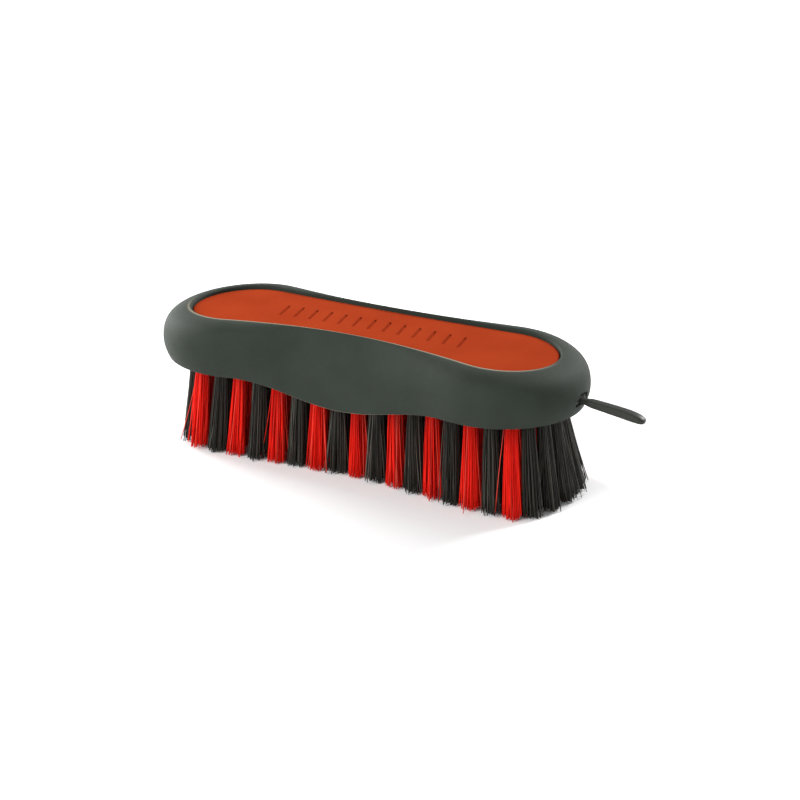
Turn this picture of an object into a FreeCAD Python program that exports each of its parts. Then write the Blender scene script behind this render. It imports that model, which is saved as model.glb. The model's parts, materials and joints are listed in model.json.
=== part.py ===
import FreeCAD, Part
import math
import os

# Hoof brush with a swinging pick: a waisted hand brush whose two-colour tufts stand in a rubber-covered block.
# Millimetres. X runs along the brush, towards the pick; Y across it; Z up. The origin is on the middle line,
# in the plane of the bristle tips that the brush stands on.

Vec = FreeCAD.Vector

# --- Driving dimensions ---
# The plan outline is a waisted oval: two end circles joined by hollow waist arcs, given at the insert's edge.
END_CENTRE_X = 59.5      # centre of each end circle
END_RADIUS = 23.1        # end circle at the insert's edge
WAIST_HALF = 18.2        # half the waist's width at the insert's edge

# Heights above the bristle tips.
BLOCK_BOTTOM_Z = 40.0    # face that the tufts come out of
INSERT_EDGE_Z = 57.2     # insert's surface at the two ends
INSERT_CROWN = 3.0       # how much higher the back is in the middle
CROWN_HALF_LENGTH = END_CENTRE_X + END_RADIUS
SKIRT_Z = 38.3           # cover's lower edge at the two ends
SKIRT_DIP = 7.0          # how much lower the cover hangs at the grip
SKIRT_DIP_HALF = 48.0    # half the length of that dip

# Fits.
INSERT_GAP = 0.25        # gap between the insert and the cover's lip
FIT_GAP = 0.1            # gap left between moulded pieces

# Cover. Its flank changes from the round ends' section to the grip's over GRIP_BLEND_HALF from the middle.
GRIP_BLEND_HALF = 64.0
POCKET_FLOOR_Z = 50.0    # the insert's pocket is cut down to here, inside the block
FLANK_FLOOR_Z = 22.0     # the flank is built down to here, then trimmed to the wavy lower edge
STATION_COUNT = 132      # poles round the outline
TRIM_POINTS = 24         # spans of the wavy lower edge

# The flank's section from the lip down: outward offset at the ends and at the grip, and the share of the way
# down from the insert's edge to the lower edge, at the ends and at the grip. The first rows rise over the lip,
# and the last one runs past the lower edge to be trimmed.
FLANK = [
    (INSERT_GAP, INSERT_GAP, -0.045, -0.035),
    (0.9, 0.6, -0.075, -0.055),
    (3.0, 1.4, -0.090, -0.052),
    (6.2, 2.1, -0.040, -0.002),
    (9.6, 3.1, 0.080, 0.130),
    (11.9, 4.6, 0.260, 0.300),
    (12.8, 6.3, 0.500, 0.480),
    (12.5, 7.9, 0.730, 0.680),
    (11.3, 9.2, 0.905, 0.860),
    (10.2, 10.0, 1.030, 1.020),
    (10.0, 10.2, 1.220, 1.180),
]

# Block: outward offsets of its sides from the insert's edge, at the round ends and at the waist.
BLOCK_TOP_Z = 58.0
BLOCK_LOW_OFFSETS = (7.7, 3.9)
BLOCK_TOP_OFFSETS = (6.0, -1.6)

# Insert, its pegs and its row of slanted grooves.
INSERT_THICKNESS = 2.4
PEG_RADIUS = 1.6
PEG_LENGTH = 3.0
PEG_ROOT = 0.5           # how far a peg reaches up into the plate
PEG_PLACES = [-62.0, -22.0, 22.0, 62.0]
GROOVE_COUNT = 13
GROOVE_PITCH = 6.9
GROOVE_LENGTH = 11.2
GROOVE_RADIUS = 0.6
GROOVE_LEAN = -11.0      # degrees from straight across, away from the pick
GROOVE_DEPTH = 0.45

# Tufts. The rows follow the waisted outline. The first and last columns bend round with the end circles.
COLUMNS = 19
COLUMN_PITCH = 8.95
COLUMN_SHIFT = 0.75      # the columns' middle lies this far towards the pick
COLUMN_TUFTS = 5
WAIST_ROW_Y = 13.0       # outer row at the waist
LOBE_ROW_Y = 17.3        # outer row beside the end circles' centres
END_COLUMN_RADIUS = 22.3 # arc that the first and last columns stand on, about the end circle's centre
END_COLUMN_STEP = 19.0   # degrees from one tuft to the next on that arc
HOLE_RADIUS = 2.6
HOLE_DEPTH = 9.0
TUFT_ROOT_RADIUS = 2.5
TUFT_TIP_RADIUS = 2.8    # of the bundle's core; loose bristles spread further
SIDE_SPLAY = 0.35        # how far a tip leans outwards, as a share of its root's Y, in the middle
SIDE_SPLAY_GAIN = 0.0024 # how much that share grows for each millimetre towards the pick
SET_LEAN = 2.25          # how far the tips lean towards the pick, the set of a used brush
SET_LEAN_GAIN = 0.05     # how much further they lean for each millimetre towards the pick

# Anchors: flat wire driven across each hole, through the fold of the bristles.
ANCHOR_WIDTH = 0.5
ANCHOR_HEIGHT = 1.8
ANCHOR_BITE = 0.15       # how far each end cuts into the wall of its hole
ANCHOR_GAP = 0.02        # slot in the bristles round the wire
ANCHOR_COVER = 1.2       # from the wire to the bottom of the hole

# Pick and its knuckle hinge at the end of the block.
HINGE_X = 92.6
HINGE_Z = 44.6
PICK_DROOP = 6.7         # degrees below level at rest
KNUCKLE_RADIUS = 1.95
EAR_HALF_WIDTH = 5.0
EAR_LENGTH = 8.0         # from inside the block to the hinge
TANG_HALF_WIDTH = 2.2
SIDE_CLEARANCE = 0.15
SLOT_MARGIN = 1.0        # how far the slot's cutter stands above and below the ears
PIN_RADIUS = 0.8
PIN_CLEARANCE = 0.05
NECK_WIDTH = 3.8
NECK_THICKNESS = 2.0
NECK_CLEARANCE = 0.4
PICK_CORNER = 0.42       # corner radius of the pick's section, as a share of its smaller side
PICK_UP = 32.0           # degrees of relief in the rubber above the resting pick
PICK_DOWN = 16.0         # degrees of relief below it
MOUTH_LENGTH = 16.0      # length of the cutter for the ears' mouth in the rubber
RELIEF_LENGTH = 12.0     # length of the cutter for the neck's reliefs

# Sections along the pick from its hinge: distance, width across, thickness, and how far it has bent down.
PICK_SECTIONS = [
    (1.2, NECK_WIDTH, NECK_THICKNESS, 0.0),
    (4.2, NECK_WIDTH, NECK_THICKNESS, 0.0),
    (6.6, 5.2, 3.0, 0.0),
    (14.0, 5.6, 3.4, 0.0),
    (21.0, 5.8, 3.7, 0.1),
    (26.0, 5.4, 3.5, 0.4),
    (28.8, 4.4, 2.7, 0.8),
    (29.8, 3.0, 1.7, 1.0),
]

# Cutters and slabs reach past the whole brush, to these distances from its middle.
REACH_X = 110.0
REACH_Y = 60.0


# --- Shared formulas ---
def waist_arc(radius, waist):
    """Radius and centre height of the hollow waist arc that is tangent to both end circles."""
    arc = (END_CENTRE_X**2 + waist**2 - radius**2) / (2 * (radius - waist))
    return arc, waist + arc


def waisted_wire(radius, waist, z):
    """The waisted oval as a wire of four tangent arcs at height z."""
    arc, centre_y = waist_arc(radius, waist)
    share = radius / (radius + arc)
    touch_x = END_CENTRE_X * (1 - share)
    touch_y = centre_y * share
    corners = [(touch_x, touch_y), (-touch_x, touch_y), (-touch_x, -touch_y), (touch_x, -touch_y)]
    middles = [(0, waist), (-END_CENTRE_X - radius, 0), (0, -waist), (END_CENTRE_X + radius, 0)]
    edges = []
    for i, middle in enumerate(middles):
        start, end = corners[i], corners[(i + 1) % 4]
        edges.append(Part.Arc(Vec(*start, z), Vec(*middle, z), Vec(*end, z)).toShape())
    return Part.Wire(edges)


def outline_stations(count):
    """Evenly spaced stations round the insert's edge: (x, y, normal x, normal y), starting at the +X end."""
    arc, centre_y = waist_arc(END_RADIUS, WAIST_HALF)
    end_angle = math.atan2(centre_y, -END_CENTRE_X)        # from +X to the tangent point
    waist_angle = 2 * math.atan2(END_CENTRE_X, centre_y)   # swept by the whole waist arc
    end_length = END_RADIUS * end_angle
    waist_length = arc * waist_angle
    lap = 4 * end_length + 2 * waist_length
    stations = []
    for i in range(count):
        s = lap * i / count
        turned = s > lap / 2
        s = s - lap / 2 if turned else s
        if s <= end_length:
            a = s / END_RADIUS
            x, y = END_CENTRE_X + END_RADIUS * math.cos(a), END_RADIUS * math.sin(a)
            nx, ny = math.cos(a), math.sin(a)
        elif s <= end_length + waist_length:
            a = waist_angle * (0.5 - (s - end_length) / waist_length)
            x, y = arc * math.sin(a), centre_y - arc * math.cos(a)
            nx, ny = -math.sin(a), math.cos(a)
        else:
            a = math.pi - end_angle + (s - end_length - waist_length) / END_RADIUS
            x, y = -END_CENTRE_X + END_RADIUS * math.cos(a), END_RADIUS * math.sin(a)
            nx, ny = math.cos(a), math.sin(a)
        sign = -1 if turned else 1
        stations.append((sign * x, sign * y, sign * nx, sign * ny))
    return stations


def crown_z(x):
    """Height of the insert's edge at x: a parabola, highest in the middle."""
    return INSERT_EDGE_Z + INSERT_CROWN * (1 - (x / CROWN_HALF_LENGTH) ** 2)


def skirt_z(x):
    """Height of the cover's lower edge at x: level at the ends, with one smooth wave down at the grip."""
    if abs(x) >= SKIRT_DIP_HALF:
        return SKIRT_Z
    return SKIRT_Z - SKIRT_DIP * (1 + math.cos(math.pi * x / SKIRT_DIP_HALF)) / 2


def grip_share(x):
    """1 at the waist, where the flank is a plain slope, falling to 0 at the round ends."""
    reach = min(1.0, abs(x) / GRIP_BLEND_HALF)
    return (1 + math.cos(math.pi * reach)) / 2


def crowned_slab(top_drop, bottom_z):
    """A block that spans the brush, from bottom_z up to top_drop under the crowned back."""
    left, middle, right = (Vec(x, -REACH_Y, crown_z(x) - top_drop) for x in (-REACH_X, 0, REACH_X))
    low_left, low_right = Vec(-REACH_X, -REACH_Y, bottom_z), Vec(REACH_X, -REACH_Y, bottom_z)
    profile = Part.Wire([
        Part.Arc(left, middle, right).toShape(),
        Part.LineSegment(right, low_right).toShape(),
        Part.LineSegment(low_right, low_left).toShape(),
        Part.LineSegment(low_left, left).toShape(),
    ])
    return Part.Face(profile).extrude(Vec(0, 2 * REACH_Y, 0))


# --- Cover ---
def strip(rows, degree):
    """A smooth closed band through rows of poles, one row per loop round the brush."""
    count = len(rows[0])
    poles = [[row[i] for row in rows] for i in range(count)]
    spans = len(rows) - degree
    surface = Part.BSplineSurface()
    surface.buildFromPolesMultsKnots(
        poles,
        [1] * (count + 1),
        [degree + 1] + [1] * (spans - 1) + [degree + 1],
        list(range(count + 1)),
        list(range(spans + 1)),
        True, False, 3, degree,
    )
    return surface.toShape()


def loop_row(stations, end_offset, grip_offset, height):
    """One loop of poles, offset outwards from the insert's edge. height(x) gives the loop's Z."""
    row = []
    for x, y, nx, ny in stations:
        share = grip_share(x)
        offset = end_offset * (1 - share) + grip_offset * share
        px, py = x + offset * nx, y + offset * ny
        row.append(Vec(px, py, height(px)))
    return row


def flank_height(end_share, grip_share_down):
    """Height function of one flank row."""
    def height(x):
        share = grip_share(x)
        down = end_share * (1 - share) + grip_share_down * share
        return crown_z(x) + (skirt_z(x) - crown_z(x)) * down
    return height


def lies_at(edge, z):
    """Whether an edge lies in the level plane at height z."""
    bounds = edge.BoundBox
    return max(abs(bounds.ZMax - z), abs(bounds.ZMin - z)) < 1e-4


def rubber_envelope():
    """The cover's outside as a solid: flank, lip and insert pocket, with a flat floor below the skirt."""
    stations = outline_stations(STATION_COUNT)
    rows = [loop_row(stations, e, g, flank_height(te, tg)) for e, g, te, tg in FLANK]
    last_end, last_grip = FLANK[-1][0], FLANK[-1][1]
    rows.append(loop_row(stations, last_end, last_grip, lambda x: FLANK_FLOOR_Z))
    pocket_row = loop_row(stations, FLANK[0][0], FLANK[0][1], lambda x: POCKET_FLOOR_Z)
    flank = strip(rows, 3)
    lip = strip([pocket_row, rows[0]], 1)
    caps = []
    for band, z in ((flank, FLANK_FLOOR_Z), (lip, POCKET_FLOOR_Z)):
        rim = [edge for edge in band.Edges if lies_at(edge, z)]
        caps.append(Part.Face(Part.Wire(rim)))
    shell = Part.makeShell([flank, lip] + caps)
    shell.sewShape()
    solid = Part.makeSolid(shell)
    if solid.Volume < 0:
        solid.reverse()
    return solid


def skirt_trim():
    """Everything under the cover's wavy lower edge, as a cutter."""
    points = []
    for i in range(TRIM_POINTS + 1):
        x = SKIRT_DIP_HALF * (2 * i / TRIM_POINTS - 1)
        points.append(Vec(x, -REACH_Y, skirt_z(x)))
    wave = Part.BSplineCurve()
    wave.interpolate(Points=points, InitialTangent=Vec(1, 0, 0), FinalTangent=Vec(1, 0, 0))
    far_left, far_right = Vec(-REACH_X, -REACH_Y, SKIRT_Z), Vec(REACH_X, -REACH_Y, SKIRT_Z)
    low_left, low_right = Vec(-REACH_X, -REACH_Y, 0), Vec(REACH_X, -REACH_Y, 0)
    profile = Part.Wire([
        Part.LineSegment(far_left, points[0]).toShape(),
        wave.toShape(),
        Part.LineSegment(points[-1], far_right).toShape(),
        Part.LineSegment(far_right, low_right).toShape(),
        Part.LineSegment(low_right, low_left).toShape(),
        Part.LineSegment(low_left, far_left).toShape(),
    ])
    return Part.Face(profile).extrude(Vec(0, 2 * REACH_Y, 0))


# --- Block ---
def block_loft(grow, bottom_z):
    """The block's body, grown outwards by grow: a tapered waisted oval under the crowned back.

    A stretch below the block keeps the section of its bottom, so that the taper is the same in every version.
    """
    sections = [(BLOCK_BOTTOM_Z, BLOCK_LOW_OFFSETS), (BLOCK_TOP_Z, BLOCK_TOP_OFFSETS)]
    wires = []
    for z, (end_offset, waist_offset) in sections:
        wires.append(waisted_wire(END_RADIUS + end_offset + grow, WAIST_HALF + waist_offset + grow, z))
    body = Part.makeLoft(wires, True, True)
    if bottom_z < BLOCK_BOTTOM_Z:
        below = Part.Face(wires[0]).extrude(Vec(0, 0, bottom_z - BLOCK_BOTTOM_Z))
        body = body.fuse(below)
    return body.common(crowned_slab(INSERT_THICKNESS + FIT_GAP - grow, bottom_z - 1))


def knuckle_profile(radius, back_x):
    """A bar seen from the side: from back_x to the hinge, and rounded about it with the radius."""
    top, bottom = HINGE_Z + radius, HINGE_Z - radius
    back_top, back_low = Vec(back_x, 0, top), Vec(back_x, 0, bottom)
    front_top, front_low = Vec(HINGE_X, 0, top), Vec(HINGE_X, 0, bottom)
    return Part.Face(Part.Wire([
        Part.LineSegment(back_low, back_top).toShape(),
        Part.LineSegment(back_top, front_top).toShape(),
        Part.Arc(front_top, Vec(HINGE_X + radius, 0, HINGE_Z), front_low).toShape(),
        Part.LineSegment(front_low, back_low).toShape(),
    ]))


def across(face, half_width):
    """Extrude a side profile to both sides of the middle plane."""
    face.translate(Vec(0, -half_width, 0))
    return face.extrude(Vec(0, 2 * half_width, 0))


def tuft_holes():
    """Blind holes in the block's underside, one for each tuft."""
    holes = []
    for column in range(1, COLUMNS + 1):
        for x, y in tuft_roots(column):
            holes.append(Part.makeCylinder(HOLE_RADIUS, HOLE_DEPTH + 1, Vec(x, y, BLOCK_BOTTOM_Z - 1)))
    return Part.makeCompound(holes)


def peg_set(radius, length):
    """The insert's locating pegs, or the holes for them, hanging from its underside."""
    pegs = []
    for x in PEG_PLACES:
        low = crown_z(x) - INSERT_THICKNESS - length
        pegs.append(Part.makeCylinder(radius, length + PEG_ROOT, Vec(x, 0, low)))
    return Part.makeCompound(pegs)


def bristle_block():
    nose = across(knuckle_profile(KNUCKLE_RADIUS, HINGE_X - EAR_LENGTH), EAR_HALF_WIDTH)
    slot_back = HINGE_X - KNUCKLE_RADIUS - 2 * SIDE_CLEARANCE
    slot = across(knuckle_profile(KNUCKLE_RADIUS + SLOT_MARGIN, slot_back), TANG_HALF_WIDTH + SIDE_CLEARANCE)
    hole_start = Vec(HINGE_X, -2 * EAR_HALF_WIDTH, HINGE_Z)
    pin_hole = Part.makeCylinder(PIN_RADIUS, 4 * EAR_HALF_WIDTH, hole_start, Vec(0, 1, 0))
    body = block_loft(0, BLOCK_BOTTOM_Z).fuse(nose).removeSplitter()
    body = body.cut(slot).cut(pin_hole).cut(tuft_holes())
    return body.cut(peg_set(PEG_RADIUS + FIT_GAP, PEG_LENGTH + 2 * FIT_GAP))


def box_about(centre, sizes, back):
    """A box with its middle at the centre in Y and Z. back is the share of its length behind it in X."""
    corner = centre - Vec(back * sizes[0], sizes[1] / 2, sizes[2] / 2)
    return Part.makeBox(*sizes, corner)


def grip_cover():
    cover = rubber_envelope().cut(skirt_trim())
    cover = cover.cut(block_loft(FIT_GAP, FLANK_FLOOR_Z - 2))
    hinge = Vec(HINGE_X, 0, HINGE_Z)
    mouth_sizes = (MOUTH_LENGTH, 2 * (EAR_HALF_WIDTH + FIT_GAP), 2 * (KNUCKLE_RADIUS + FIT_GAP))
    cover = cover.cut(box_about(hinge, mouth_sizes, 0.5))
    relief_sizes = (RELIEF_LENGTH, NECK_WIDTH + 2 * NECK_CLEARANCE, NECK_THICKNESS + 2 * NECK_CLEARANCE)
    for degrees in (PICK_DROOP - PICK_UP, PICK_DROOP + PICK_DOWN):
        relief = box_about(hinge, relief_sizes, 0)
        relief.rotate(hinge, Vec(0, 1, 0), degrees)
        cover = cover.cut(relief)
    return cover


# --- Insert ---
def grip_grooves():
    """A row of slanted round-ended grooves along the middle of the insert, as cutters."""
    up = Vec(0, 0, 1)
    height = 2 * INSERT_THICKNESS
    corner = Vec(-GROOVE_RADIUS, -GROOVE_LENGTH / 2, 0)
    bar = Part.makeBox(2 * GROOVE_RADIUS, GROOVE_LENGTH, height, corner)
    ends = [Part.makeCylinder(GROOVE_RADIUS, height, Vec(0, side * GROOVE_LENGTH / 2, 0)) for side in (-1, 1)]
    groove = bar.fuse(ends).removeSplitter()
    groove.rotate(Vec(0, 0, 0), up, -GROOVE_LEAN)
    cutters = []
    for i in range(GROOVE_COUNT):
        x = (i - (GROOVE_COUNT - 1) / 2) * GROOVE_PITCH
        cutters.append(groove.translated(Vec(x, 0, crown_z(x) - GROOVE_DEPTH)))
    return Part.makeCompound(cutters)


def top_insert():
    wire = waisted_wire(END_RADIUS, WAIST_HALF, POCKET_FLOOR_Z)
    plate = Part.Face(wire).extrude(Vec(0, 0, 20))
    plate = plate.common(crowned_slab(0, POCKET_FLOOR_Z)).cut(crowned_slab(INSERT_THICKNESS, 0))
    plate = plate.cut(grip_grooves())
    pegs = peg_set(PEG_RADIUS, PEG_LENGTH)
    return plate.fuse(pegs).removeSplitter()


# --- Tufts ---
def column_x(column):
    """X of a column; columns are numbered from 1 at the free end to 19 at the pick."""
    return (column - (COLUMNS + 1) / 2) * COLUMN_PITCH + COLUMN_SHIFT


def outer_row(column):
    """The outer row's distance from the middle at a column: it follows the waist."""
    reach = min(1.0, abs(column_x(column)) / END_CENTRE_X)
    return WAIST_ROW_Y + (LOBE_ROW_Y - WAIST_ROW_Y) * (1 - math.cos(math.pi * reach)) / 2


def tuft_roots(column):
    """Hole centres of one column, from the -Y side to the +Y side."""
    middle = (COLUMN_TUFTS - 1) / 2
    if column not in (1, COLUMNS):
        return [(column_x(column), outer_row(column) * (row / middle - 1)) for row in range(COLUMN_TUFTS)]
    side = math.copysign(1, column_x(column))
    roots = []
    for row in range(COLUMN_TUFTS):
        turn = math.radians(END_COLUMN_STEP * (row - middle))
        x = side * (END_CENTRE_X + END_COLUMN_RADIUS * math.cos(turn)) + COLUMN_SHIFT
        roots.append((x, END_COLUMN_RADIUS * math.sin(turn)))
    return roots


def tuft_tip(x, y):
    """Where the tuft rooted at (x, y) ends: outer rows lean outwards, and all lean towards the pick."""
    return x + SET_LEAN + SET_LEAN_GAIN * x, y * (1 + SIDE_SPLAY + SIDE_SPLAY_GAIN * x)


def tuft(x, y):
    """One tuft: a plug in its hole and a leaning bundle that widens to a flat tip, slotted for its anchor."""
    tip_x, tip_y = tuft_tip(x, y)
    up = Vec(0, 0, 1)
    root = Part.Wire(Part.makeCircle(TUFT_ROOT_RADIUS, Vec(x, y, BLOCK_BOTTOM_Z), up))
    tip = Part.Wire(Part.makeCircle(TUFT_TIP_RADIUS, Vec(tip_x, tip_y, 0), up))
    bundle = Part.makeLoft([tip, root], True, True)
    plug = Part.makeCylinder(TUFT_ROOT_RADIUS, HOLE_DEPTH - FIT_GAP, Vec(x, y, BLOCK_BOTTOM_Z))
    return bundle.fuse(plug).cut(anchor(x, y, ANCHOR_GAP))


def anchor(x, y, grow=0.0):
    """The flat wire across one hole. It lies along Y, near the bottom of the hole."""
    half_length = HOLE_RADIUS + ANCHOR_BITE + grow
    width, height = ANCHOR_WIDTH + 2 * grow, ANCHOR_HEIGHT + 2 * grow
    low = BLOCK_BOTTOM_Z + HOLE_DEPTH - ANCHOR_COVER - ANCHOR_HEIGHT - grow
    return Part.makeBox(width, 2 * half_length, height, Vec(x - width / 2, y - half_length, low))


# --- Pick ---
def rounded_section(distance, width, thickness, bend):
    """A rounded bar's cross-section, square to the pick: four straight sides and four corner arcs."""
    corner = PICK_CORNER * min(width, thickness)
    a, b = width / 2, thickness / 2
    arc_mid = corner * (1 - math.sqrt(0.5))
    edges = []
    corners = [(1, 1), (-1, 1), (-1, -1), (1, -1)]
    for i, (sy, sz) in enumerate(corners):
        side_point = (sy * a, sz * (b - corner))
        flat_point = (sy * (a - corner), sz * b)
        middle = (sy * (a - arc_mid), sz * (b - arc_mid))
        first, last = (side_point, flat_point) if sy * sz > 0 else (flat_point, side_point)
        ny, nz = corners[(i + 1) % 4]
        if ny * nz > 0:
            following = (ny * a, nz * (b - corner))
        else:
            following = (ny * (a - corner), nz * b)
        points = [Vec(distance, y, z - bend) for y, z in (first, middle, last, following)]
        edges.append(Part.Arc(points[0], points[1], points[2]).toShape())
        edges.append(Part.LineSegment(points[2], points[3]).toShape())
    return Part.Wire(edges)


def hoof_pick():
    """The pick with its knuckle and bore, made about the hinge, then drooped and moved to its place."""
    across_y = Vec(0, 1, 0)
    arm = Part.makeLoft([rounded_section(*section) for section in PICK_SECTIONS], True, False)
    tang_start = Vec(0, -TANG_HALF_WIDTH, 0)
    knuckle = Part.makeCylinder(KNUCKLE_RADIUS - FIT_GAP, 2 * TANG_HALF_WIDTH, tang_start, across_y)
    bore = Part.makeCylinder(PIN_RADIUS + PIN_CLEARANCE, 4 * TANG_HALF_WIDTH, 2 * tang_start, across_y)
    pick = arm.fuse(knuckle).removeSplitter().cut(bore)
    pick.rotate(Vec(0, 0, 0), across_y, PICK_DROOP)
    pick.translate(Vec(HINGE_X, 0, HINGE_Z))
    return pick


def pick_pin():
    start = Vec(HINGE_X, -EAR_HALF_WIDTH, HINGE_Z)
    return Part.makeCylinder(PIN_RADIUS, 2 * EAR_HALF_WIDTH, start, Vec(0, 1, 0))


# --- Export ---
def save(name, shape):
    shape.exportStep(f"parts/{name}.step")
    print(f"{name}: {len(shape.Solids)} solids, {shape.Volume:.1f} mm3, valid {shape.isValid()}")


def main():
    os.makedirs("parts", exist_ok=True)
    save("bristle_block", bristle_block())
    save("grip_cover", grip_cover())
    save("top_insert", top_insert())
    save("hoof_pick", hoof_pick())
    save("pick_pin", pick_pin())
    wires = []
    for column in range(1, COLUMNS + 1):
        colour = "black" if column % 2 else "red"
        roots = tuft_roots(column)
        save(f"tuft_column_{column:02d}_{colour}", Part.makeCompound([tuft(x, y) for x, y in roots]))
        wires += [anchor(x, y) for x, y in roots]
    save("tuft_anchors", Part.makeCompound(wires))


main()
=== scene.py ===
"""Hoof brush with a swinging pick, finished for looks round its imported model.

Metres, in the model's own frame: X along the brush towards the pick, Y across it, Z up from the bristle
tips.
"""
import json
import math

import bmesh
import bpy
import numpy as np
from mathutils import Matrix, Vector

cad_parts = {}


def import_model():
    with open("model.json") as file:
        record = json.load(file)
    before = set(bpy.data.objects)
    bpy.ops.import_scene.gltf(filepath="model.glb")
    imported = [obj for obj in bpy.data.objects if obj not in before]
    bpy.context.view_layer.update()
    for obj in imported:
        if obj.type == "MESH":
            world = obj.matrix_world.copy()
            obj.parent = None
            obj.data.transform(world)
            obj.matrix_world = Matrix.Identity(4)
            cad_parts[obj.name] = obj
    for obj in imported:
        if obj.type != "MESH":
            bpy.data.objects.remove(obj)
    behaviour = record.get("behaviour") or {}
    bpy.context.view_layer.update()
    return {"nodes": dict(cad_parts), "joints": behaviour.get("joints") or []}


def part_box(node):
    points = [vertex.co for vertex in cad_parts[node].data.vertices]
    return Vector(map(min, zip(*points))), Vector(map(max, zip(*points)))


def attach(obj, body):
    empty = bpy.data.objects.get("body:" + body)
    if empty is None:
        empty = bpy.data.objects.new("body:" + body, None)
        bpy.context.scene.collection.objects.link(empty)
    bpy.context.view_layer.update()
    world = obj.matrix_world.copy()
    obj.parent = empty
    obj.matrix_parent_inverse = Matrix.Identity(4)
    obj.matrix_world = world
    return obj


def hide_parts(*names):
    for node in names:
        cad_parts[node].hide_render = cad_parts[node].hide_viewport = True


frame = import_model()
MM = 0.001

# --- Sizes read from the model ---
INSERT_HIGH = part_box("top_insert")[1]
COVER_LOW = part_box("grip_cover")[0]
BLOCK_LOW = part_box("bristle_block")[0]
HINGE = Vector(frame["joints"][0]["pos_m"])

END_RADIUS = INSERT_HIGH.y                  # end circle of the insert's outline
END_CENTRE = INSERT_HIGH.x - END_RADIUS     # its centre's distance from the middle
WAIST_HALF = 18.2 * MM                      # half the insert's width at the waist
CROWN_RISE = 3.0 * MM                       # the back is this much higher in the middle than at its ends
CROWN_TOP = INSERT_HIGH.z
BLOCK_FACE = BLOCK_LOW.z                    # face that the tufts come out of
SKIRT_DIP = 7.0 * MM                        # the cover hangs this much lower at the grip
SKIRT_DIP_HALF = 48.0 * MM                  # half the length of that dip
GRIP_BLEND_HALF = 64.0 * MM                 # the grip's section turns into the ends' over this length
SKIRT_LOW = COVER_LOW.z

# --- Outline and heights ---
ARC_RADIUS = (END_CENTRE**2 + WAIST_HALF**2 - END_RADIUS**2) / (2 * (END_RADIUS - WAIST_HALF))
ARC_CENTRE = WAIST_HALF + ARC_RADIUS        # Y of the hollow waist arcs' centres
TOUCH_X = END_CENTRE * ARC_RADIUS / (ARC_RADIUS + END_RADIUS)   # where the arcs meet the end circles
END_ANGLE = math.atan2(ARC_CENTRE, -END_CENTRE)
WAIST_ANGLE = 2 * math.atan2(END_CENTRE, ARC_CENTRE)
END_LENGTH = END_RADIUS * END_ANGLE
WAIST_LENGTH = ARC_RADIUS * WAIST_ANGLE
LAP = 4 * END_LENGTH + 2 * WAIST_LENGTH


def outline(s):
    """Point and outward normal of the insert's edge after a way s round it from the pick's end.

    Half a lap is an end arc, a hollow waist arc and an end arc. The other half is the same turned by 180
    degrees.
    """
    s = np.mod(s, LAP)
    sign = np.where(s > LAP / 2, -1.0, 1.0)
    s = np.where(s > LAP / 2, s - LAP / 2, s)
    first = s / END_RADIUS
    waist = WAIST_ANGLE * (0.5 - (s - END_LENGTH) / WAIST_LENGTH)
    last = math.pi - END_ANGLE + (s - END_LENGTH - WAIST_LENGTH) / END_RADIUS
    on_first = s <= END_LENGTH
    on_waist = (s > END_LENGTH) & (s <= END_LENGTH + WAIST_LENGTH)
    turn = np.where(on_first, first, last)
    centre = np.where(on_first, END_CENTRE, -END_CENTRE)
    x = np.where(on_waist, ARC_RADIUS * np.sin(waist), centre + END_RADIUS * np.cos(turn))
    y = np.where(on_waist, ARC_CENTRE - ARC_RADIUS * np.cos(waist), END_RADIUS * np.sin(turn))
    nx = np.where(on_waist, -np.sin(waist), np.cos(turn))
    ny = np.where(on_waist, np.cos(waist), np.sin(turn))
    return sign * x, sign * y, sign * nx, sign * ny


def edge_distance(x, y):
    """How far a point inside the insert's outline is from its edge: to the end circles or the waist arcs."""
    to_end = END_RADIUS - np.hypot(np.abs(x) - END_CENTRE, y)
    to_waist = np.hypot(x, ARC_CENTRE - np.abs(y)) - ARC_RADIUS
    return np.where(np.abs(x) > TOUCH_X, np.maximum(to_end, 0), np.maximum(to_waist, 0))


def crown_z(x):
    """Height of the back at x: a parabola, highest in the middle."""
    return CROWN_TOP - CROWN_RISE * (x / INSERT_HIGH.x) ** 2


def skirt_z(x):
    """Height of the cover's lower edge at x: level at the ends, with one cosine wave down at the grip."""
    inside = np.clip(np.abs(x) / SKIRT_DIP_HALF, 0, 1)
    return SKIRT_LOW + SKIRT_DIP * (1 - np.cos(np.pi * inside)) / 2


def grip_share(x):
    """1 at the waist, where the flank is a plain slope, falling by a cosine to 0 at the round ends."""
    return (1 + np.cos(np.pi * np.clip(np.abs(x) / GRIP_BLEND_HALF, 0, 1))) / 2


# --- Mesh helpers ---
WELD = 1e-7                   # points nearer than this are one


def spline_weights(t, count):
    """Weights of count control rows on a closed uniform cubic B-spline at parameters t, as a matrix."""
    start = np.floor(t).astype(int)
    f = t - start
    parts = [(1 - f) ** 3, 3 * f**3 - 6 * f**2 + 4, -3 * f**3 + 3 * f**2 + 3 * f + 1, f**3]
    weights = np.zeros((len(t), count))
    for k, part in enumerate(parts):
        np.add.at(weights, (np.arange(len(t)), (start - 1 + k) % count), part / 6)
    return weights


def open_spline(rows, t):
    """Points at t in 0..1 on a cubic B-spline through the first and last of the rows, which are tripled."""
    rows = np.asarray(rows, float)
    rows = np.vstack([rows[:1], rows[:1], rows, rows[-1:], rows[-1:]])
    along = 1 + np.clip(t, 0, 1 - 1e-9) * (len(rows) - 3)
    return spline_weights(along, len(rows)) @ rows


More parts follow.
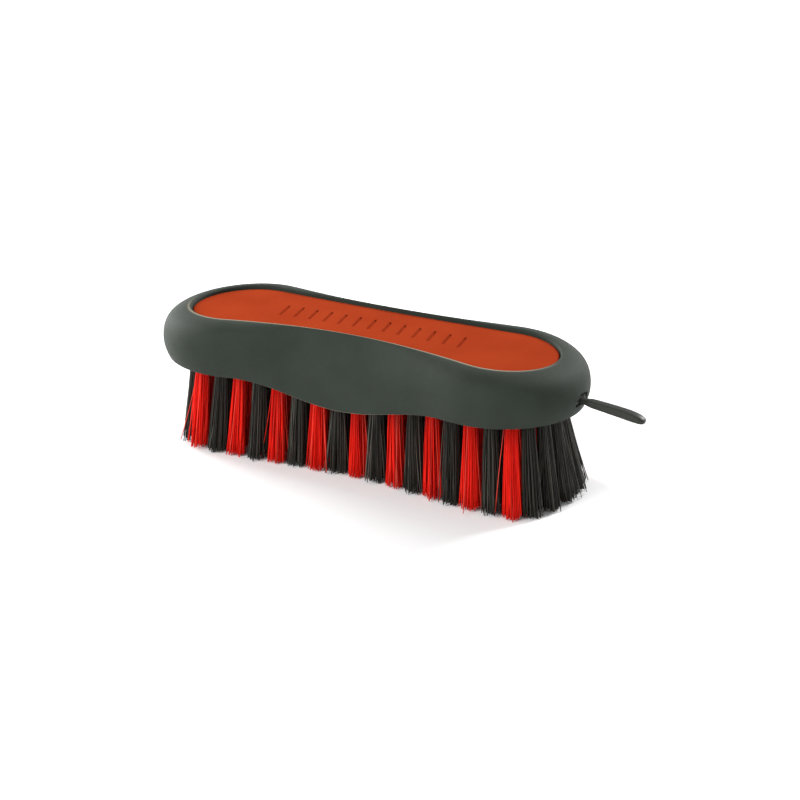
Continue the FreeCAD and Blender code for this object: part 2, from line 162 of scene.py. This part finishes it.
def grid_quads(rows, columns, wrap_rows=False, wrap_columns=False, start=0):
    """Quads of a grid of points stored row by row, joined round where a direction wraps."""
    i = np.arange(rows if wrap_rows else rows - 1)
    j = np.arange(columns if wrap_columns else columns - 1)
    i, j = (a.ravel() for a in np.meshgrid(i, j, indexing="ij"))
    i2, j2 = (i + 1) % rows, (j + 1) % columns
    quads = [i * columns + j, i2 * columns + j, i2 * columns + j2, i * columns + j2]
    return np.stack(quads, axis=1) + start


def facing_out(points, quads):
    """The same quads, turned over if the volume that they enclose comes out negative."""
    a, b, c, d = (points[quads[:, k]] for k in range(4))
    volume = np.einsum("ij,ij->", a, np.cross(b, c)) + np.einsum("ij,ij->", a, np.cross(c, d))
    return quads if volume > 0 else quads[:, ::-1]


def make_piece(name, points, quads, material, body="brush", stands_for=(), merge=0.0):
    """A smooth mesh object of quads, riding on its body in place of the named nodes."""
    quads = facing_out(points, quads)
    mesh = bpy.data.meshes.new(name)
    mesh.vertices.add(len(points))
    mesh.vertices.foreach_set("co", np.ascontiguousarray(points, np.float32).ravel())
    mesh.loops.add(quads.size)
    mesh.loops.foreach_set("vertex_index", np.ascontiguousarray(quads, np.int32).ravel())
    mesh.polygons.add(len(quads))
    mesh.polygons.foreach_set("loop_start", np.arange(0, quads.size, 4, dtype=np.int32))
    mesh.polygons.foreach_set("use_smooth", np.ones(len(quads), bool))
    mesh.update(calc_edges=True)
    mesh.validate()
    if merge:
        work = bmesh.new()
        work.from_mesh(mesh)
        bmesh.ops.remove_doubles(work, verts=work.verts, dist=merge)
        work.to_mesh(mesh)
        work.free()
    mesh.materials.append(material)
    piece = bpy.data.objects.new(name, mesh)
    bpy.context.scene.collection.objects.link(piece)
    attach(piece, body)
    if stands_for:
        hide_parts(*stands_for)
    return piece


def set_attribute(piece, name, values):
    """Stores one number for each vertex of a piece."""
    layer = piece.data.attributes.new(name, "FLOAT", "POINT")
    layer.data.foreach_set("value", np.ascontiguousarray(values, np.float32))


# --- Materials ---
EDGE_HIGHLIGHT_SHARE = 0.7              # how much of the pale painted-highlight colour the brightest edge takes
BUNDLE_SHADE = 0.9            # shades below this are for bristles in the bundle, and above it for loose ones, which take the painted highlight


def linear(hex_colour):
    """Linear RGBA of an sRGB hex colour."""
    channels = [int(hex_colour[i:i + 2], 16) / 255 for i in (1, 3, 5)]
    return tuple(c / 12.92 if c <= 0.04045 else ((c + 0.055) / 1.055) ** 2.4 for c in channels) + (1.0,)


def add(tree, kind, links=(), stops=(), **settings):
    """Adds a node. A setting is a property or an input's name, and links are (input, socket) pairs.

    Stops are a colour ramp's (position, hex colour) pairs.
    """
    node = tree.nodes.new(kind)
    for key, value in settings.items():
        if hasattr(node, key):
            setattr(node, key, value)
        else:
            node.inputs[key.replace("_", " ")].default_value = value
    for key, socket in links:
        tree.links.new(socket, node.inputs[key])
    for _ in stops[2:]:
        node.color_ramp.elements.new(0.5)
    for element, (position, colour) in zip(node.color_ramp.elements if stops else (), stops):
        element.position = position
        element.color = linear(colour)
    return node


def new_material(name, **settings):
    """A material with one Principled shader; returns it with its tree, shader and object coordinates."""
    material = bpy.data.materials.new(name)
    material.use_nodes = True
    tree = material.node_tree
    shader = tree.nodes["Principled BSDF"]
    for key, value in settings.items():
        shader.inputs[key.replace("_", " ")].default_value = value
    place = add(tree, "ShaderNodeTexCoord").outputs["Object"]
    return material, tree, shader, place


def soft_touch_rubber():
    """Moulded soft-touch elastomer: charcoal with a green cast, matt, with a fine spark-eroded grain, and a
    painted highlight along the lip's crest and hem.
    """
    material, tree, shader, place = new_material(
        "soft_touch_rubber_moulded", IOR=1.5, Specular_IOR_Level=0.14, Sheen_Weight=0.03, Sheen_Roughness=0.5)
    # Broad, faint clouding from handling, about 25 mm across.
    cloud = add(tree, "ShaderNodeTexNoise", [("Vector", place)], Scale=1 / (25 * MM), Detail=3.0)
    tint = add(tree, "ShaderNodeValToRGB", [(0, cloud.outputs["Fac"])],
               stops=[(0.35, "#272D27"), (0.65, "#2D342D")])
    # Painted highlight: the lip's crest and the hem are painted paler on the side facing -Y, where they catch
    # the light.
    edge_highlight = add(tree, "ShaderNodeAttribute", attribute_name="painted_edge_highlight")
    share = add(tree, "ShaderNodeMath", [(0, edge_highlight.outputs["Fac"])], operation="MULTIPLY")
    share.inputs[1].default_value = EDGE_HIGHLIGHT_SHARE
    edge = add(tree, "ShaderNodeMix", [("Factor", share.outputs[0]), ("A", tint.outputs["Color"])],
               data_type="RGBA", B=linear("#A39880"))
    tree.links.new(edge.outputs["Result"], shader.inputs["Base Color"])
    # Spark-eroded grain: real pits are 0.1 mm apart. Drawn 0.35 mm apart so that they show.
    grain = add(tree, "ShaderNodeTexNoise", [("Vector", place)], Scale=1 / (0.35 * MM), Detail=2.0)
    rough = add(tree, "ShaderNodeMapRange", [("Value", grain.outputs["Fac"])], To_Min=0.62, To_Max=0.78)
    tree.links.new(rough.outputs["Result"], shader.inputs["Roughness"])
    bump = add(tree, "ShaderNodeBump", [("Height", grain.outputs["Fac"])], Strength=1.0, Distance=0.12 * MM)
    tree.links.new(bump.outputs["Normal"], shader.inputs["Normal"])
    return material


def orange_abs():
    """Moulded ABS: orange-red and matt, with a pebbled leather grain from the mould."""
    material, tree, shader, place = new_material(
        "orange_abs_pebble_grain", Roughness=0.55, IOR=1.53, Specular_IOR_Level=0.0)
    # Broad, faint clouding, about 30 mm across.
    cloud = add(tree, "ShaderNodeTexNoise", [("Vector", place)], Scale=1 / (30 * MM), Detail=2.0)
    tint = add(tree, "ShaderNodeValToRGB", [(0, cloud.outputs["Fac"])],
               stops=[(0.3, "#893018"), (0.7, "#93361B")])
    tree.links.new(tint.outputs["Color"], shader.inputs["Base Color"])
    # Pebbles 0.8 mm across.
    pebble = add(tree, "ShaderNodeTexVoronoi", [("Vector", place)], feature="SMOOTH_F1", Scale=1 / (0.8 * MM))
    bump = add(tree, "ShaderNodeBump", [("Height", pebble.outputs["Distance"])],
               Strength=0.8, Distance=0.12 * MM)
    tree.links.new(bump.outputs["Normal"], shader.inputs["Normal"])
    return material


def filament(name, dark, bright, lit, roughness, gloss):
    """Extruded bristle filament: its colour differs a little from bristle to bristle, with a soft sheen.

    Loose bristles take the lit colour, a painted highlight for the light that they catch.
    """
    material, tree, shader, place = new_material(
        name, Roughness=roughness, IOR=1.55, Specular_IOR_Level=gloss)
    shade = add(tree, "ShaderNodeAttribute", attribute_name="bristle_shade")
    tint = add(tree, "ShaderNodeValToRGB", [(0, shade.outputs["Fac"])],
               stops=[(0.0, dark), (BUNDLE_SHADE, bright), (1.0, lit)])
    tree.links.new(tint.outputs["Color"], shader.inputs["Base Color"])
    # Drawing marks along the filament, 0.3 mm across and many millimetres long.
    stretched = add(tree, "ShaderNodeMapping", [("Vector", place)], Scale=(1.0, 1.0, 0.05))
    marks = add(tree, "ShaderNodeTexNoise", [("Vector", stretched.outputs["Vector"])], Scale=1 / (0.3 * MM))
    bump = add(tree, "ShaderNodeBump", [("Height", marks.outputs["Fac"])], Strength=0.2, Distance=0.03 * MM)
    tree.links.new(bump.outputs["Normal"], shader.inputs["Normal"])
    return material


def moulded_plastic(name, dark, bright, roughness, grain):
    """Moulded polyolefin or nylon: near-black, satin, with a fine grain of the given size."""
    material, tree, shader, place = new_material(name, Roughness=roughness, IOR=1.5, Specular_IOR_Level=0.2)
    noise = add(tree, "ShaderNodeTexNoise", [("Vector", place)], Scale=1 / grain, Detail=3.0)
    tint = add(tree, "ShaderNodeValToRGB", [(0, noise.outputs["Fac"])], stops=[(0.3, dark), (0.7, bright)])
    tree.links.new(tint.outputs["Color"], shader.inputs["Base Color"])
    bump = add(tree, "ShaderNodeBump", [("Height", noise.outputs["Fac"])], Strength=0.3, Distance=0.06 * MM)
    tree.links.new(bump.outputs["Normal"], shader.inputs["Normal"])
    return material


def drawn_steel():
    """Drawn steel wire: bright grey, with fine lines along the wire."""
    material, tree, shader, place = new_material(
        "drawn_steel_wire", Base_Color=linear("#9A9C9E"), Metallic=1.0)
    stretched = add(tree, "ShaderNodeMapping", [("Vector", place)], Scale=(1.0, 0.04, 1.0))
    lines = add(tree, "ShaderNodeTexNoise", [("Vector", stretched.outputs["Vector"])], Scale=1 / (0.1 * MM))
    rough = add(tree, "ShaderNodeMapRange", [("Value", lines.outputs["Fac"])], To_Min=0.25, To_Max=0.45)
    tree.links.new(rough.outputs["Result"], shader.inputs["Roughness"])
    return material


RUBBER = soft_touch_rubber()
INSERT_PLASTIC = orange_abs()
RED_FILAMENT = filament("red_pbt_filament_extruded", "#CE0C03", "#F61E07", "#C94C3F", 0.5, 0.15)
BLACK_FILAMENT = filament("black_pbt_filament_extruded", "#191814", "#312F28", "#5E5D55", 0.45, 0.3)
BLOCK_PLASTIC = moulded_plastic("black_polypropylene_moulded", "#161716", "#1E1F1E", 0.5, 0.4 * MM)
PICK_PLASTIC = moulded_plastic("charcoal_nylon_moulded", "#272A25", "#31342E", 0.45, 0.5 * MM)
STEEL = drawn_steel()


# --- Cover ---
# The cover's closed section, as control rows of a B-spline round it: outward offset from the insert's edge
# in mm at the ends and at the grip, and the share of the way from the back down to the lower edge, at the
# ends and at the grip. It rises over the lip, runs down the flank, turns under the hem and goes back up inside.
COVER_SECTION = [
    (0.25, 0.25, -0.045, -0.036),
    (0.8, 0.5, -0.078, -0.056),
    (2.6, 0.95, -0.088, -0.056),
    (6.0, 1.6, -0.045, -0.008),
    (9.8, 2.9, 0.075, 0.120),
    (12.0, 4.6, 0.260, 0.300),
    (12.8, 6.3, 0.500, 0.480),
    (12.5, 7.9, 0.730, 0.680),
    (11.3, 9.2, 0.905, 0.860),
    (10.75, 9.8, 0.965, 0.955),
    (10.45, 10.05, 1.002, 1.000),
    (9.7, 9.4, 1.004, 1.002),
    (8.9, 7.6, 1.000, 1.000),
    (8.25, 6.9, 1.000, 1.000),
    (8.2, 6.7, 0.965, 0.970),
    (7.9, 4.4, 0.890, 0.700),
    (6.4, 0.8, 0.170, 0.230),
    (5.5, 0.45, 0.140, 0.190),
    (0.9, 0.35, 0.140, 0.190),
    (0.25, 0.25, 0.110, 0.150),
]
COVER_OUTER_ROWS = (3, 11)        # the section's rows that lie on the outer flank
COVER_LAP_POINTS = 420
COVER_POINTS_PER_ROW = 8
PAINTED_HIGHLIGHT_EDGES = [(1.5, 0.24), (10.35, 0.3)]   # painted highlight on the lip's crest and hem: place and width along the section
MOUTH_HALF_WIDTH = 5.1 * MM
MOUTH_HALF_HEIGHT = 2.05 * MM
MOUTH_DEPTH = 3.4 * MM
RELIEF_HALF_WIDTH = 2.3 * MM      # notch over and under the pick's neck
RELIEF_HALF_HEIGHT = 2.75 * MM
WALL_WAY = 0.2 * MM               # width of the mouth's side walls, along the outline
WALL_TURN = 0.05                  # width of its upper and lower walls, along the section


def cover_surface(s, t):
    """The cover's surface: at each way s round the outline, the section spline t stands out on the normal."""
    section = np.array(COVER_SECTION)
    end_offset, grip_offset, end_down, grip_down = (spline_weights(t, len(section)) @ section).T
    x, y, nx, ny = (a[:, None] for a in outline(s))
    share = grip_share(x)
    offset = (end_offset * (1 - share) + grip_offset * share) * MM
    px, py = x + offset * nx, y + offset * ny
    down = end_down * (1 - share) + grip_down * share
    pz = crown_z(px) + (skirt_z(px) - crown_z(px)) * down
    return px, py, pz


def ramp(value, low, high, edge):
    """1 between low and high and 0 outside, by straight slopes that are one edge wide and lie inside them."""
    return np.clip(np.minimum(value - low, high - value) / edge, 0, 1)


def around(places, edge):
    """Sample places at both ends of each wall, which starts at a place and is one edge wide."""
    return np.concatenate([np.asarray(places) + k * edge for k in (-1.6, -0.5, -0.15, 0, 0.5, 1, 1.15, 1.6)])


def grip_cover():
    """The cover with the pick's mouth: a cross-shaped patch of its surface pushed straight in along X.

    The patch is bounded by grid lines: ways round the outline to both sides of the pick, and section
    parameters at the mouth's and the reliefs' heights.
    """
    section_rows = len(COVER_SECTION)
    flank_t = np.linspace(*COVER_OUTER_ROWS, 400)
    flank_x, _, flank_z = cover_surface(np.array([0.0]), flank_t)
    face_x = float(np.interp(-HINGE.z, -flank_z[0], flank_x[0]))
    halves = ((MOUTH_HALF_WIDTH, MOUTH_HALF_HEIGHT), (RELIEF_HALF_WIDTH, RELIEF_HALF_HEIGHT))
    openings = []
    for half_width, half_height in halves:
        reach = END_RADIUS * math.asin(half_width / (face_x - END_CENTRE))
        top, bottom = np.interp([-HINGE.z - half_height, -HINGE.z + half_height], -flank_z[0], flank_t)
        openings.append((reach, top, bottom))
    walls_s = [side * reach for reach, _, _ in openings for side in (-1, 1)]
    walls_t = [t for _, top, bottom in openings for t in (top, bottom)]
    s = np.linspace(-LAP / 2, LAP / 2, COVER_LAP_POINTS, endpoint=False)
    s = np.concatenate([s, around(walls_s, WALL_WAY), around(walls_s, -WALL_WAY)])
    s = np.unique(np.round(s, 7))
    t = np.linspace(0, section_rows, COVER_POINTS_PER_ROW * section_rows, endpoint=False)
    t = np.concatenate([t, around(walls_t, WALL_TURN), around(walls_t, -WALL_TURN)])
    t = np.unique(np.round(t, 5))
    px, py, pz = cover_surface(s, t)
    depth = np.zeros_like(px)
    for reach, top, bottom in openings:
        patch = ramp(s, -reach, reach, WALL_WAY)[:, None] * ramp(t, top, bottom, WALL_TURN)[None, :]
        depth = np.maximum(depth, MOUTH_DEPTH * patch)
    points = np.stack([px - depth, py, pz], axis=-1).reshape(-1, 3)
    quads = grid_quads(len(s), len(t), True, True)
    piece = make_piece("grip_cover_skin", points, quads, RUBBER, stands_for=["grip_cover"])
    # Painted highlight along the lip's crest and hem: strongest on the side facing -Y, none on the side facing
    # +Y.
    edge_highlight = sum(np.exp(-((t - place) / width) ** 2) for place, width in PAINTED_HIGHLIGHT_EDGES)
    front_side = np.clip(-outline(s)[3], 0, 1)
    set_attribute(piece, "painted_edge_highlight", np.outer(front_side, edge_highlight).ravel())


# --- Insert ---
INSERT_THICKNESS = 2.4 * MM
EDGE_ROUNDING = 0.7 * MM
GROOVE_COUNT = 13
GROOVE_PITCH = 6.9 * MM
GROOVE_HALF_LENGTH = 5.6 * MM
GROOVE_HALF_WIDTH = 0.65 * MM
GROOVE_DEPTH = 0.75 * MM
GROOVE_LEAN = math.radians(-11)
GROOVE_MARGIN = 2.0 * MM          # the fine strips go this far past the last grooves' middles
STRIPS_OVER_GROOVES = 601
STRIPS_TO_END = 40
FLAT_SHARE = 0.45                 # evenly spaced points across take this share of the half width


def groove_depth(x, y):
    """Depth of the row of slanted grooves: it falls smoothly from each centre line to nothing at the sides."""
    index = np.clip(np.round(x / GROOVE_PITCH), -(GROOVE_COUNT // 2), GROOVE_COUNT // 2)
    dx = x - index * GROOVE_PITCH
    along = dx * math.sin(GROOVE_LEAN) + y * math.cos(GROOVE_LEAN)
    along = np.clip(along, -GROOVE_HALF_LENGTH, GROOVE_HALF_LENGTH)
    away = np.hypot(dx - along * math.sin(GROOVE_LEAN), y - along * math.cos(GROOVE_LEAN))
    inside = np.clip(1 - (away / GROOVE_HALF_WIDTH) ** 2, 0, 1)
    return GROOVE_DEPTH * inside * (2 - inside)


def half_width(x):
    """Half the insert's width at x: the waist arc, and the end circles beyond the points where they meet."""
    waist = ARC_CENTRE - np.sqrt(ARC_RADIUS**2 - np.minimum(np.abs(x), TOUCH_X) ** 2)
    end = np.sqrt(np.maximum(END_RADIUS**2 - (np.abs(x) - END_CENTRE) ** 2, 0))
    return np.where(np.abs(x) > TOUCH_X, end, waist)


def insert_top(x, y):
    """The insert's upper surface: the crowned back, rounded off at its edge, less the grooves."""
    inward = np.clip(edge_distance(x, y) / EDGE_ROUNDING, 0, 1)
    rounding = EDGE_ROUNDING * (1 - np.sqrt(1 - (1 - inward) ** 2))
    return crown_z(x) - rounding - groove_depth(x, y)


def top_insert():
    """A grid of cross strips. Each runs over the top, down one side, back under the plate and up again."""
    groove_reach = GROOVE_PITCH * (GROOVE_COUNT // 2) + GROOVE_MARGIN
    turn = np.linspace(0, math.pi / 2, STRIPS_TO_END)
    far = groove_reach + (INSERT_HIGH.x - groove_reach) * np.sin(turn)
    x = np.concatenate([-far[:0:-1], np.linspace(-groove_reach, groove_reach, STRIPS_OVER_GROOVES), far[1:]])
    flat = np.linspace(-FLAT_SHARE, FLAT_SHARE, 56)
    side = FLAT_SHARE + (1 - FLAT_SHARE) * np.sin(np.linspace(0, math.pi / 2, 22))[1:]
    across = np.concatenate([-side[::-1], flat, side])
    gx, gy = np.meshgrid(x, across, indexing="ij")
    width = half_width(gx)
    top = insert_top(gx, gy * width)
    under_across = np.linspace(1, -1, 6)
    ux, uy = np.meshgrid(x, under_across, indexing="ij")
    under = crown_z(ux) - INSERT_THICKNESS
    px = np.hstack([gx, ux])
    py = np.hstack([gy * width, uy * half_width(ux)])
    pz = np.hstack([top, under])
    points = np.stack([px, py, pz], axis=-1).reshape(-1, 3)
    quads = grid_quads(len(x), px.shape[1], False, True)
    make_piece("top_insert_plate", points, quads, INSERT_PLASTIC, stands_for=["top_insert"],
               merge=WELD)


# --- Tufts ---
BRISTLES_PER_TUFT = 110
BRISTLE_RADIUS = 0.2 * MM
BRISTLE_SIDES = 4
BRISTLE_RINGS = 7
CLUMPS = 12                   # clumps that a tuft's tips draw together into
COLUMN_TUFTS = 5
ROOT_RADIUS = 2.5 * MM
FLAT = 0.01 * MM              # how nearly level a tuft's end is
TIP_RADIUS = 4.3 * MM         # a loose tuft spreads past its solid
TIP_RAGGED = 0.6 * MM         # how unevenly the tips of one clump are cut
CLUMP_RAGGED = 1.3 * MM       # how much shorter a whole clump may be
STRAY_SHARE = 0.1
STRAY_REACH = 0.5             # how far a loose bristle leans out at most, as a share of TIP_RADIUS
ROOT_DEPTH = 1.0 * MM         # how far the bristles start inside the block
NODE_STEM = "tuft_column_"


def ring_centres(points):
    """Centres of the five flat ends in a column, one above the next in Y, from the points on them."""
    gaps = np.diff(np.sort(points[:, 1]))
    widest = np.sort(np.argsort(gaps)[-(COLUMN_TUFTS - 1):])
    groups = np.split(points[np.argsort(points[:, 1])], widest + 1)
    return np.array([(group.min(0) + group.max(0)) / 2 for group in groups])


def tuft_axes(node):
    """Root and tip centres of a column's tufts, in order of Y, from the flat ends of its model node."""
    mesh = frame["nodes"][node].data
    co = np.empty(len(mesh.vertices) * 3)
    mesh.vertices.foreach_get("co", co)
    co = co.reshape(-1, 3)
    roots = ring_centres(co[co[:, 2] > co[:, 2].max() - FLAT])
    tips = ring_centres(co[co[:, 2] < FLAT])
    return roots[:, :2], tips[:, :2]


def bristle_paths(root, tip, rng):
    """Centre lines of one tuft's bristles, by bristle, ring and coordinate, and which bristles are loose.

    Roots are spread over the hole by the golden angle. A tip keeps its bristle's place in the bundle, but
    widened, drawn towards its clump and shifted at random. The way between is nearly straight with a slight
    bow, and loose bristles lean further out.
    """
    n = BRISTLES_PER_TUFT
    k = np.arange(n)
    turn = k * math.pi * (3 - math.sqrt(5)) + rng.uniform(0, 2 * math.pi)
    reach = np.sqrt((k + 0.5) / n)
    spread = np.stack([reach * np.cos(turn), reach * np.sin(turn)], axis=1)
    clump_turn = rng.uniform(0, 2 * math.pi, CLUMPS)
    clump_reach = np.sqrt(rng.uniform(0.05, 1.0, CLUMPS))
    clump_place = np.stack([clump_reach * np.cos(clump_turn), clump_reach * np.sin(clump_turn)], axis=1)
    nearest = np.argmin(((spread[:, None] - clump_place[None]) ** 2).sum(-1), axis=1)
    clump = np.where(rng.random(n) < 0.8, nearest, rng.integers(0, CLUMPS, n))
    tip_spread = 0.70 * spread + 0.30 * clump_place[clump] + rng.normal(0, 0.13, (n, 2))
    stray = (rng.random(n) < STRAY_SHARE)[:, None]
    lean_out = np.clip(rng.normal(0, 0.38, (n, 2)), -STRAY_REACH, STRAY_REACH)
    tip_spread = np.where(stray, tip_spread * 1.2 + lean_out, tip_spread)
    f = np.linspace(0, 1, BRISTLE_RINGS)[None, :, None]
    start = root + spread * ROOT_RADIUS
    end = tip + tip_spread * TIP_RADIUS
    bow = rng.normal(0, 0.3 * MM, (n, 1, 2)) * np.sin(np.pi * f)
    fan = f**1.15
    flat = start[:, None] * (1 - fan) + end[:, None] * fan + bow
    clump_low = CLUMP_RAGGED * rng.random(CLUMPS) ** 2
    low = np.abs(rng.normal(0, TIP_RAGGED, n)) + clump_low[clump] + 0.05 * MM
    high = BLOCK_FACE + ROOT_DEPTH
    z = high + (low[:, None, None] - high) * f
    return np.concatenate([flat, z], axis=-1), stray[:, 0]


def tuft_column(node, seed):
    """One column of tufts: every bristle is a thin square rod about its centre line, closed at both ends."""
    rng = np.random.default_rng(seed)
    roots, tips = tuft_axes(node)
    tufts = [bristle_paths(root, tip, rng) for root, tip in zip(roots, tips)]
    paths = np.concatenate([paths for paths, _ in tufts])
    stray = np.concatenate([stray for _, stray in tufts])
    count = len(paths)
    radius = BRISTLE_RADIUS * rng.uniform(0.8, 1.15, count)
    corner = np.arange(BRISTLE_SIDES) * 2 * math.pi / BRISTLE_SIDES
    turn = rng.uniform(0, 2 * math.pi, count)[:, None] + corner
    ring = np.stack([np.cos(turn), np.sin(turn), np.zeros_like(turn)], axis=-1) * radius[:, None, None]
    points = (paths[:, :, None] + ring[:, None]).reshape(-1, 3)
    one = grid_quads(BRISTLE_RINGS, BRISTLE_SIDES, False, True)
    last = (BRISTLE_RINGS - 1) * BRISTLE_SIDES
    caps = np.array([[0, 1, 2, 3], [last + 3, last + 2, last + 1, last]])
    one = np.vstack([one, caps])
    per_bristle = BRISTLE_RINGS * BRISTLE_SIDES
    quads = (one[None] + (np.arange(count) * per_bristle)[:, None, None]).reshape(-1, 4)
    colour = node.rsplit("_", 1)[1]
    material = RED_FILAMENT if colour == "red" else BLACK_FILAMENT
    piece = make_piece(f"bristles_{node.removeprefix(NODE_STEM)}", points, quads, material, stands_for=[node])
    # Loose bristles get shades above BUNDLE_SHADE, which give them the lit colour, a painted highlight.
    shade = np.where(stray, rng.uniform(BUNDLE_SHADE, 1.0, count), rng.uniform(0, BUNDLE_SHADE, count))
    set_attribute(piece, "bristle_shade", np.repeat(shade, per_bristle))


# --- Pick ---
# Control rows along the pick from its hinge, in mm: distance, half width, half thickness, and drop of the
# centre line.
PICK_ROWS = [
    (0.4, 1.9, 1.0, 0.0),
    (2.8, 1.9, 1.0, 0.0),
    (4.4, 1.95, 1.02, 0.0),
    (5.6, 2.45, 1.4, 0.0),
    (8.0, 2.65, 1.55, 0.0),
    (14.0, 2.8, 1.7, 0.0),
    (21.0, 2.9, 1.85, 0.1),
    (25.5, 2.8, 1.8, 0.35),
    (28.0, 2.5, 1.55, 0.65),
    (29.4, 1.9, 1.1, 0.9),
    (29.75, 1.2, 0.7, 1.0),
]
PICK_DROOP = math.radians(6.7)
KNUCKLE_RADIUS = 1.85 * MM
KNUCKLE_HALF_WIDTH = 2.2 * MM
WEB_DEPTH = 0.35 * MM             # how far the pick's sides lie in between its rounded edges
WEB_ENDS = (7 * MM, 27.5 * MM)    # where those hollows start and stop, from the hinge
WEB_EDGE = 1.5 * MM               # length over which they fade
BAR_POINTS = 56                   # round the bar
KNUCKLE_POINTS = 48               # round the knuckle


def super_ring(count, power):
    """Unit ring points of a rounded square: the sine and cosine raised to a power below one."""
    turn = np.linspace(0, 2 * math.pi, count, endpoint=False)
    c, s = np.cos(turn), np.sin(turn)
    return np.sign(c) * np.abs(c) ** power, np.sign(s) * np.abs(s) ** power


def hoof_pick():
    """A rounded bar along the control rows, hollow along both sides, and its knuckle, turned by the droop.

    The bar's rings are rounded squares, closed to a point at both ends. The knuckle is a turned profile about
    the hinge.
    """
    along = np.linspace(0, 1, 90)
    distance, half_w, half_t, drop = (open_spline(PICK_ROWS, along) * MM).T
    ring_y, ring_z = super_ring(BAR_POINTS, 0.72)
    y = half_w[:, None] * ring_y
    z = half_t[:, None] * ring_z
    in_length = ramp(distance, *WEB_ENDS, WEB_EDGE)[:, None]
    between_edges = ramp(ring_z, -0.62, 0.62, 0.2)
    y = y - np.sign(ring_y) * WEB_DEPTH * between_edges * in_length
    z = z - drop[:, None]
    x = np.broadcast_to(distance[:, None], y.shape)
    bar = np.stack([x, y, z], axis=-1)
    root, tip = (end.mean(axis=1, keepdims=True).repeat(BAR_POINTS, axis=1) for end in (bar[:1], bar[-1:]))
    bar = np.concatenate([root, bar, tip])
    points = bar.reshape(-1, 3)
    quads = facing_out(points, grid_quads(len(bar), BAR_POINTS, False, True))

    rim = np.array([
        (0, -1), (0.86, -1), (0.96, -0.96), (1, -0.86), (1, 0.86), (0.96, 0.96), (0.86, 1), (0, 1),
    ])
    turn = np.linspace(0, 2 * math.pi, KNUCKLE_POINTS, endpoint=False)
    radius = rim[:, :1] * KNUCKLE_RADIUS
    side = np.broadcast_to(rim[:, 1:] * KNUCKLE_HALF_WIDTH, (len(rim), KNUCKLE_POINTS))
    knuckle = np.stack([radius * np.cos(turn), side, radius * np.sin(turn)], axis=-1).reshape(-1, 3)
    knuckle_quads = facing_out(knuckle, grid_quads(len(rim), KNUCKLE_POINTS, False, True)) + len(points)
    points = np.concatenate([points, knuckle])
    quads = np.concatenate([quads, knuckle_quads])
    c, s = math.cos(PICK_DROOP), math.sin(PICK_DROOP)
    x, y, z = points.T
    turned = np.stack([c * x + s * z, y, c * z - s * x], axis=1)
    make_piece("hoof_pick_blade", turned + np.array(HINGE), quads, PICK_PLASTIC, body="pick",
               stands_for=["hoof_pick"], merge=WELD)


# --- Stage ---
CAMERA_TARGET = Vector((0, 0, 46 * MM))
CAMERA_DISTANCE = 1110 * MM
CAMERA_AZIMUTH = math.radians(28.77)
CAMERA_ELEVATION = math.radians(20.0)
CAMERA_LENS = 121.3               # in mm, on a 36 mm sensor
CAMERA_SHIFT = (0.035, -0.054)
FLOOR_REACH = 6.0
WORLD_STRENGTH = 0.5
# Soft boxes: name, place, the point that it faces, size and power in watts.
SOFT_BOXES = [
    ("key", (-0.9, -1.4, 1.1), (0, 0, 0.03), 1.4, 41),
    ("left_back_rim", (-1.8, 0.5, 0.5), (0, 0, 0.04), 0.6, 42),
    ("right_back_rim", (0.6, 1.6, 1.0), (0.05, 0, 0.04), 0.5, 45),
]


def stage():
    """A plain pale floor, in the plane that the brush stands on."""
    mesh = bpy.data.meshes.new("floor")
    corners = [(x * FLOOR_REACH, y * FLOOR_REACH, 0) for x, y in ((-1, -1), (1, -1), (1, 1), (-1, 1))]
    mesh.from_pydata(corners, [], [(0, 1, 2, 3)])
    floor = bpy.data.objects.new("floor", mesh)
    bpy.context.scene.collection.objects.link(floor)
    paper = new_material("matt_white_paper", Base_Color=linear("#F4F4F4"), Roughness=0.9)[0]
    mesh.materials.append(paper)


def area_light(name, place, target, size, power):
    """A square soft box at a place, facing a target."""
    light = bpy.data.lights.new(name, "AREA")
    light.size = size
    light.energy = power
    lamp = bpy.data.objects.new(name, light)
    lamp.location = place
    lamp.rotation_euler = (Vector(target) - Vector(place)).to_track_quat("-Z", "Y").to_euler()
    bpy.context.scene.collection.objects.link(lamp)


def camera():
    """The camera looks at the target from its azimuth and elevation, with a long lens."""
    back = Vector((
        math.sin(CAMERA_AZIMUTH) * math.cos(CAMERA_ELEVATION),
        -math.cos(CAMERA_AZIMUTH) * math.cos(CAMERA_ELEVATION),
        math.sin(CAMERA_ELEVATION),
    ))
    data = bpy.data.cameras.new("camera")
    data.lens = CAMERA_LENS
    data.sensor_width = 36.0
    data.shift_x, data.shift_y = CAMERA_SHIFT
    data.clip_start = 0.01
    data.clip_end = 50.0
    eye = bpy.data.objects.new("camera", data)
    eye.location = CAMERA_TARGET + back * CAMERA_DISTANCE
    eye.rotation_euler = back.to_track_quat("Z", "Y").to_euler()
    bpy.context.scene.collection.objects.link(eye)
    bpy.context.scene.camera = eye


def world():
    """Even white light from all round, shown without a film look."""
    scene = bpy.context.scene
    scene.world = bpy.data.worlds.new("studio")
    scene.world.use_nodes = True
    sky = scene.world.node_tree.nodes["Background"]
    sky.inputs["Color"].default_value = (1, 1, 1, 1)
    sky.inputs["Strength"].default_value = WORLD_STRENGTH
    scene.view_settings.view_transform = "Standard"


# --- Assembly ---
grip_cover()
top_insert()
hoof_pick()
columns = sorted(name for name in frame["nodes"] if name.startswith(NODE_STEM))
for number, column in enumerate(columns):
    tuft_column(column, seed=100 + number)

for node, finish in (("bristle_block", BLOCK_PLASTIC), ("pick_pin", STEEL), ("tuft_anchors", STEEL)):
    slots = frame["nodes"][node].data.materials
    slots.clear()
    slots.append(finish)

stage()
camera()
world()
for box in SOFT_BOXES:
    area_light(*box)

bpy.context.view_layer.update()
